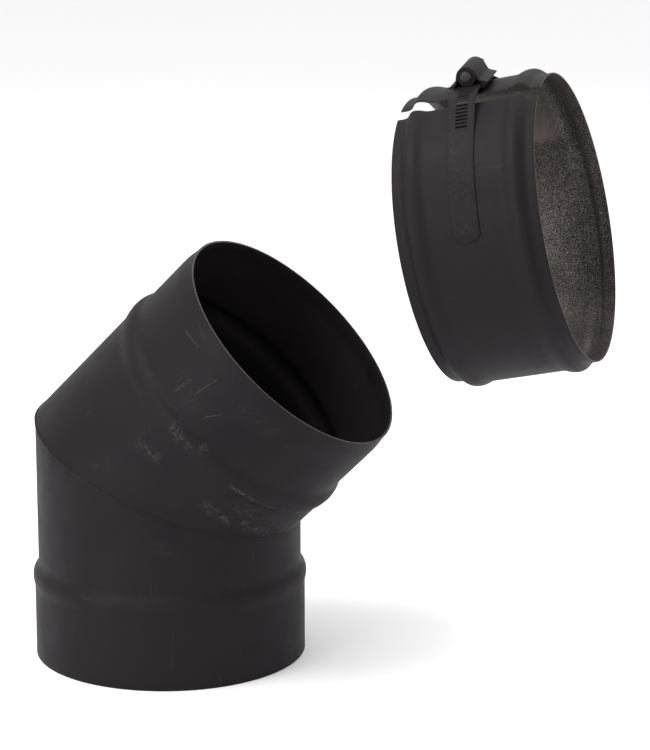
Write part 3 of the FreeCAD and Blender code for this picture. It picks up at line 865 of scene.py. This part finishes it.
def strap_seat(context):
    """Seen from the flex line: the housing's angle, its half angle, and its strap's distance."""
    w = context.scene.worm_sizes
    seen = BAND_MATRIX.inverted() @ WORM_CENTRE - FLEX_PIVOT
    under = math.hypot(seen.y, seen.z) - w.axis_height
    return math.atan2(-seen.y, seen.z), w.housing_length / 2 / under, under


def strap_route(rho, free, bend, bend_radius, way, end, flat_radius, lift):
    """Middle line of a strap from its welded end to its free one, and where it leaves the band.

    The strap laps on the band, runs straight, bends, and follows an arc about the flex line.
    """
    bend_centre = polar(rho - bend_radius, bend, centre=FLEX_PIVOT)
    own = math.atan2(-bend_centre.y, bend_centre.z)
    reach = (flat_radius - bend_radius) / math.hypot(bend_centre.y, bend_centre.z)
    touch = own + way * math.acos(reach)
    points = arc(Vector((FLEX_PIVOT.x, 0, 0)), flat_radius + lift, end, touch)
    points += arc(bend_centre, bend_radius + lift, touch, bend, 0.0006)
    points += arc(FLEX_PIVOT, rho + lift, bend, free)[1:]
    return points, abs(end - touch) * (flat_radius + lift)


# Length of a strip's first run, which holds its rounded nose.
NOSE_RUN = 0.0045


def flat_strip(name, width, nose_radius, runs):
    """Flat strip in the XZ plane from a round nose at x = 0, with a cross line after each run."""
    bows = 6
    across = [width * (i / bows - 0.5) for i in range(bows + 1)]
    strip = drawn(name, [Vector((0, 0, z)) for z in across])
    bpy.ops.mesh.select_all(action="SELECT")
    for run in runs:
        bpy.ops.mesh.extrude_region_move(TRANSFORM_OT_translate={"value": X_AXIS * run})
    for z in across:
        select_where(strip, "vertices", lambda p, z=z: p.x < 1e-6 and abs(p.z - z) < 1e-6)
        back = nose_radius - math.sqrt(nose_radius * nose_radius - z * z)
        bpy.ops.transform.translate(value=X_AXIS * back)
    return strip


def bend_along(strip, points):
    """Bend a flat strip along a route in the band's cross plane, and set it in place."""
    flat = [Vector((p.y, p.z, 0)) for p in points]
    only(drawn("route", flat))
    bpy.ops.object.convert(target="CURVE")
    path = bpy.context.object
    path.data.dimensions = "2D"
    first = path.data.splines[0].points[0].co.to_3d()
    if (first - flat[0]).length > (first - flat[-1]).length:
        bpy.ops.object.mode_set(mode="EDIT")
        bpy.ops.curve.select_all(action="SELECT")
        bpy.ops.curve.switch_direction()
        bpy.ops.object.mode_set(mode="OBJECT")
    modify(strip, "CURVE", object=path, deform_axis="POS_X")
    bpy.data.objects.remove(path)
    # The route's plane is the band's YZ plane, so its own x, y and z are the band's Y, Z and X.
    cycle = Matrix(((0, 0, 1, FLEX_PIVOT.x), (1, 0, 0, 0), (0, 1, 0, 0), (0, 0, 0, 1)))
    return place(strip, BAND_MATRIX @ cycle)


def finish_strap(strap, thickness, edge, points):
    """Give a flat strip its thickness and round edges, bend it along its route, and paint it."""
    modify(strap, "SOLIDIFY", thickness=thickness, offset=0.0)
    bevel(strap, edge)
    bend_along(strap, points)
    smooth(strap, 45)
    wear(strap, STRAP_PAINT())


class FLUE_OT_slotted_strap(bpy.types.Operator):
    """Make the slotted strap that the worm draws through the housing"""

    bl_idname = "flue.slotted_strap"
    bl_label = "Slotted strap"

    def execute(self, context):
        s = context.scene.strap_sizes
        turn, half, under = strap_seat(context)
        points, lap = strap_route(
            under + s.anchor_thickness + s.slide_gap, turn - half - s.tail / under,
            turn + half + s.travel / under, s.bend_radius, 1, s.weld_end,
            context.scene.band_sizes.flat_radius, s.thickness / 2,
        )
        total = sum((q - p).length for p, q in zip(points, points[1:]))
        first = lap + s.slot_start - s.slot_height / 2
        plain = first - NOSE_RUN
        cuts = round(plain / 0.0015)
        runs = [NOSE_RUN] + [plain / cuts] * cuts
        runs += [s.slot_height, s.pitch - s.slot_height] * s.slots
        runs.append(total - sum(runs))
        strap = flat_strip("slotted_strap", s.width, s.width * s.nose_ratio, runs)
        # The cross lines of the strip are drawn in to the slots' ends, then the slots are cut out.
        inner = s.width / 6
        for side in (-1, 1):
            select_where(strap, "vertices", lambda p, z=side * inner: abs(p.z - z) < inner / 4)
            bpy.ops.transform.translate(value=Z_AXIS * side * (s.slot_length / 2 - inner))

        def in_slot(p):
            along = (p.x - first) % s.pitch
            in_run = first < p.x < first + s.pitch * s.slots
            return in_run and along < s.slot_height and abs(p.z) < s.slot_length / 2

        select_where(strap, "polygons", in_slot)
        bpy.ops.mesh.delete(type="FACE")
        finish_strap(strap, s.thickness, 0.00013, points)
        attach(strap, "band_front")
        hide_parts("worm_strap")
        return {"FINISHED"}


class FLUE_OT_anchor_strap(bpy.types.Operator):
    """Make the short strap that holds the housing to the rear of the band"""

    bl_idname = "flue.anchor_strap"
    bl_label = "Anchor strap"

    def execute(self, context):
        s = context.scene.strap_sizes
        turn, half, under = strap_seat(context)
        points, lap = strap_route(
            under, turn + half, turn - half, s.anchor_bend, -1, s.anchor_end,
            context.scene.band_sizes.flat_radius, s.anchor_thickness / 2,
        )
        total = sum((q - p).length for p, q in zip(points, points[1:]))
        cuts = round((total - NOSE_RUN) / 0.0012)
        runs = [NOSE_RUN] + [(total - NOSE_RUN) / cuts] * cuts
        strap = flat_strip("anchor_strap_sheet", s.anchor_width, s.anchor_width * s.nose_ratio, runs)
        finish_strap(strap, s.anchor_thickness, 0.00015, points)
        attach(strap, "band_rear")
        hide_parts("anchor_strap")
        return {"FINISHED"}


# Outline of a dimpled weld spot: shares of its radius and of its rise.
SPOT_PROFILE = (
    (0, -0.6), (1.0, -0.6), (1.0, -0.1), (0.93, 0.55), (0.78, 0.85), (0.62, 0.55), (0.4, 0.1), (0, 0),
)


class FLUE_OT_weld_spots(bpy.types.Operator):
    """Make one dimpled weld spot and copy it to all four places"""

    bl_idname = "flue.weld_spots"
    bl_label = "Weld spots"

    def execute(self, context):
        s = context.scene.strap_sizes
        flat = context.scene.band_sizes.flat_radius
        r = s.spot_radius
        points = [Vector((r * x, 0, s.spot_rise * z)) for x, z in SPOT_PROFILE]
        model = smooth(turned("spot", points, Z_AXIS, 28, merge=2e-6), 60)
        sets = (
            ("strap_spots", s.strap_spots, s.thickness, "band_front", "strap_weld_spots"),
            ("anchor_spots", s.anchor_spots, s.anchor_thickness, "band_rear", "anchor_weld_spots"),
        )
        for name, turns, thickness, body, node in sets:
            copies = []
            for turn in turns:
                spot = model.copy()
                spot.data = model.data.copy()
                context.scene.collection.objects.link(spot)
                centre = polar(flat + thickness, turn, FLEX_PIVOT.x)
                place(spot, BAND_MATRIX @ Matrix.Translation(centre) @ Matrix.Rotation(turn, 4, "X"))
                copies.append(spot)
            spots = join(name, copies)
            wear(spots, SPOT_PAINT())
            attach(spots, body)
            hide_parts(node)
        bpy.data.objects.remove(model)
        return {"FINISHED"}


class FLUE_OT_housing(bpy.types.Operator):
    """Make the pressed cap over the worm, with its bored end walls"""

    bl_idname = "flue.housing"
    bl_label = "Worm housing"

    def execute(self, context):
        w = context.scene.worm_sizes
        s = context.scene.strap_sizes
        lean = w.arch_half - math.pi / 2
        up = -w.axis_height

        def half_outline(grow):
            """Arch from its top to the shoulder, and the foot where the side meets the skirt."""
            radius = w.arch_radius + grow
            steps = 12
            turns = [w.arch_half * i / steps for i in range(steps + 1)]
            curve = [Vector((radius * math.sin(t), 0, radius * math.cos(t))) for t in turns]
            height = up + w.flare + grow
            foot_x = curve[-1].x + (curve[-1].z - height) * math.tan(-lean)
            return curve + [Vector((foot_x, 0, height))]

        outside = half_outline(w.cap_wall)
        inside = half_outline(0.0)
        skirt = w.skirt_half + w.cap_wall
        wing = skirt + w.wing
        lap = s.anchor_width / 2 - w.crimp_lap
        right = outside + [
            Vector((skirt, 0, up + w.flare)),
            Vector((wing, 0, up + w.wing_height + w.wing_edge)),
            Vector((wing, 0, up + w.wing_height)),
            Vector((skirt, 0, up + w.cap_wall)),
            Vector((skirt, 0, up - w.cap_wall)),
            Vector((lap, 0, up - w.cap_wall)),
            Vector((lap, 0, up)),
            Vector((w.skirt_half, 0, up)),
            Vector((w.skirt_half, 0, up + w.flare - w.cap_wall)),
        ] + inside[::-1]
        mirrored = [Vector((-p.x, 0, p.z)) for p in reversed(right)]
        ring = right + mirrored[1:-1]
        start = Y_AXIS * (-w.housing_length / 2)
        cap = drawn("cap", [p + start for p in ring + ring[:1]])
        bpy.ops.mesh.select_all(action="SELECT")
        bpy.ops.mesh.remove_doubles(threshold=1e-6)
        bpy.ops.mesh.edge_face_add()
        bpy.ops.mesh.extrude_region_move(TRANSFORM_OT_translate={"value": Y_AXIS * w.housing_length})
        recalculate()
        parts = [bevel(cap, 0.00022, 38, 3)]
        hole = w.journal_radius + w.journal_fit
        rim = w.arch_radius + w.cap_wall / 2
        inset = 0.0002
        for at in (-w.housing_length / 2 + w.end_wall / 2, w.housing_length / 2 - w.end_wall / 2):
            near = at - w.end_wall / 2 + inset
            far = at + w.end_wall / 2 - inset
            section = [(near, rim), (near, hole), (far, hole), (far, rim), (near, rim)]
            points = [Vector((0, y, z)) for y, z in section]
            parts.append(bevel(turned("end_plate", points, Y_AXIS, 40), 0.00015))
        housing = join("housing_cap", parts)
        place(housing, WORM_MATRIX)
        smooth(housing, 40)
        wear(housing, HOUSING_PAINT())
        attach(housing, "band_rear")
        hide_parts("worm_housing")
        return {"FINISHED"}


# The worm's domed tip: distance from its end, and share of the journal's radius.
DOME = ((0, 0.62), (0.0002, 0.8), (0.0006, 0.94), (0.0011, 1.0))


class FLUE_OT_worm(bpy.types.Operator):
    """Make the worm screw: domed tip, thread, collar and slotted hexagon head"""

    bl_idname = "flue.worm"
    bl_label = "Worm screw"

    def execute(self, context):
        w = context.scene.worm_sizes
        half = w.housing_length / 2
        core = half - w.end_wall - w.end_play
        collar = half + w.end_play
        tip = -half - w.tip_out
        j = w.journal_radius
        section = [(tip, 0)] + [(tip + run, j * part) for run, part in DOME] + [
            (-core, j), (-core, w.root_radius), (core, w.root_radius), (core, j),
            (collar, j), (collar, w.collar_radius), (collar + w.collar, w.collar_radius),
            (collar + w.collar, 0),
        ]
        points = [Vector((0, y, z)) for y, z in section]
        shank = bevel(turned("shank", points, Y_AXIS, 48), 0.00012)

        deselect()
        bpy.ops.mesh.primitive_cylinder_add(
            vertices=6, radius=w.head_flats / math.sqrt(3), depth=w.head_length,
            location=(0, collar + w.collar + w.head_length / 2, 0), rotation=(math.pi / 2, 0, 0),
        )
        head = added("head")
        bpy.ops.object.transform_apply(location=True, rotation=True, scale=True)
        bevel(head, 0.0004, 70, 3)
        deselect()
        end = collar + w.collar + w.head_length
        bpy.ops.mesh.primitive_cube_add(size=1.0, location=(0, end, 0))
        bit = added("bit")
        bit.scale = (2 * w.head_flats, 2 * w.slot_depth, w.drive_slot)
        modify(head, "BOOLEAN", object=bit, operation="DIFFERENCE", solver="EXACT")
        bpy.data.objects.remove(bit)

        run = 2 * core - 2 * w.thread_clear
        low = (w.thread_width + w.thread_flank) / 2
        high = w.thread_width / 2
        foot = w.root_radius - w.thread_bite
        begin = -run / 2
        top = w.crest_radius
        crest = [(begin - low, foot), (begin - high, top), (begin + high, top), (begin + low, foot)]
        thread = drawn("thread", [Vector((0, y, z)) for y, z in crest])
        pitch = context.scene.strap_sizes.pitch
        modify(
            thread, "SCREW", axis="Y", angle=math.tau, screw_offset=pitch, iterations=round(run / pitch),
            steps=32, render_steps=32, use_merge_vertices=True,
        )
        worm = join("worm_screw_turned", [shank, head, thread])
        place(worm, WORM_MATRIX)
        smooth(worm, 40)
        wear(worm, ZINC())
        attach(worm, "worm")
        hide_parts("worm_screw")
        return {"FINISHED"}


# Soft lights, each aimed at the camera's target: place, width and power.
LAMPS = (
    ("key", (-0.75, -1.75, 0.75), 1.2, 18.0),
    ("fill", (1.6, -0.9, 0.9), 1.4, 4.0),
    ("top", (-0.45, -0.55, 1.65), 0.8, 18.0),
    ("rear", (0.3, 1.1, 1.7), 1.4, 8.0),
)


class FLUE_OT_stage(bpy.types.Operator):
    """Lay the pale floor, set the soft lights and aim the camera"""

    bl_idname = "flue.stage"
    bl_label = "Stage"

    def execute(self, context):
        s = context.scene.stage_settings
        target = Vector(s.target)
        back = Vector((
            math.sin(s.azimuth) * math.cos(s.elevation),
            -math.cos(s.azimuth) * math.cos(s.elevation),
            math.sin(s.elevation),
        ))
        camera_data = bpy.data.cameras.new("view")
        camera = bpy.data.objects.new("view", camera_data)
        context.scene.collection.objects.link(camera)
        camera.location = target + back * s.distance
        camera.rotation_euler = back.to_track_quat("Z", "Y").to_euler()
        camera_data.sensor_width = 36.0
        camera_data.lens = s.lens
        camera_data.clip_end = 100.0
        context.scene.camera = camera

        deselect()
        bpy.ops.mesh.primitive_plane_add(size=30.0, location=(0, 0, -0.0002))
        floor = added("floor")
        n = Nodes("pale_floor")
        n.shade("Base Color", n.mix(n.noise(2.0), [c * 0.985 for c in s.floor], s.floor))
        n.shader.inputs["Roughness"].default_value = 0.9
        n.shader.inputs["Specular IOR Level"].default_value = 0.1
        wear(floor, n.material)

        world = bpy.data.worlds.new("pale_surround")
        world.use_nodes = True
        background = world.node_tree.nodes["Background"]
        background.inputs["Color"].default_value = (1.0, 1.0, 1.0, 1.0)
        background.inputs["Strength"].default_value = s.world
        context.scene.world = world

        for name, position, size, power in LAMPS:
            lamp_data = bpy.data.lights.new(name, "AREA")
            lamp_data.size = size
            lamp_data.energy = power
            lamp = bpy.data.objects.new(name, lamp_data)
            context.scene.collection.objects.link(lamp)
            lamp.location = position
            lamp.rotation_euler = (Vector(position) - target).to_track_quat("Z", "Y").to_euler()
        context.scene.view_settings.view_transform = "Standard"
        return {"FINISHED"}


def once(maker):
    """Make a material the first time that it is asked for, and hand out the same one after."""
    made = []

    def get():
        if not made:
            made.append(maker(bpy.context.scene.finishes))
        return made[0]

    return get


ELBOW_PAINT = once(lambda f: matt_paint("elbow_paint", f, 0.05, marked=True))
SEAM_PAINT = once(lambda f: matt_paint("seam_paint", f, 0.06))
BAND_PAINT = once(lambda f: matt_paint("band_paint", f, 0.035))
STRAP_PAINT = once(lambda f: matt_paint("strap_paint", f, 0.06, bare=0.02))
SPOT_PAINT = once(lambda f: matt_paint("spot_paint", f, 0.06, bare=0.05))
HOUSING_PAINT = once(lambda f: matt_paint("housing_paint", f, 0.10, bare=0.04))
MISTED_STEEL = once(lambda f: misted_steel("misted_steel", f))
EDGE = once(lambda f: cut_edge("cut_edge", f))
ZINC = once(lambda f: plated_screw("plated_screw", f))


class FLUE_PT_parts(bpy.types.Panel):
    """Lists the pieces of the flue elbow"""

    bl_idname = "FLUE_PT_parts"
    bl_label = "Flue elbow"
    bl_space_type = "VIEW_3D"
    bl_region_type = "UI"
    bl_category = "Flue Elbow"

    def draw(self, context):
        for operator in PIECES:
            self.layout.operator(operator.bl_idname)


SETTINGS = {
    "elbow_sizes": ElbowSizes,
    "band_sizes": BandSizes,
    "strap_sizes": StrapSizes,
    "worm_sizes": WormSizes,
    "finishes": Finishes,
    "stage_settings": StageSettings,
}
PIECES = (
    FLUE_OT_lower_leg,
    FLUE_OT_upper_leg,
    FLUE_OT_mitre_seam,
    FLUE_OT_band_sheet,
    FLUE_OT_slotted_strap,
    FLUE_OT_anchor_strap,
    FLUE_OT_weld_spots,
    FLUE_OT_housing,
    FLUE_OT_worm,
    FLUE_OT_stage,
)


def register():
    for group in SETTINGS.values():
        bpy.utils.register_class(group)
    for name, group in SETTINGS.items():
        setattr(bpy.types.Scene, name, PointerProperty(type=group))
    for piece in PIECES:
        bpy.utils.register_class(piece)
    bpy.utils.register_class(FLUE_PT_parts)


def unregister():
    bpy.utils.unregister_class(FLUE_PT_parts)
    for piece in reversed(PIECES):
        bpy.utils.unregister_class(piece)
    for name in SETTINGS:
        delattr(bpy.types.Scene, name)
    for group in SETTINGS.values():
        bpy.utils.unregister_class(group)


def main():
    register()
    bpy.ops.flue.lower_leg()
    bpy.ops.flue.upper_leg()
    bpy.ops.flue.mitre_seam()
    bpy.ops.flue.band_sheet()
    bpy.ops.flue.slotted_strap()
    bpy.ops.flue.anchor_strap()
    bpy.ops.flue.weld_spots()
    bpy.ops.flue.housing()
    bpy.ops.flue.worm()
    bpy.ops.flue.stage()


if __name__ == "__main__":
    main()
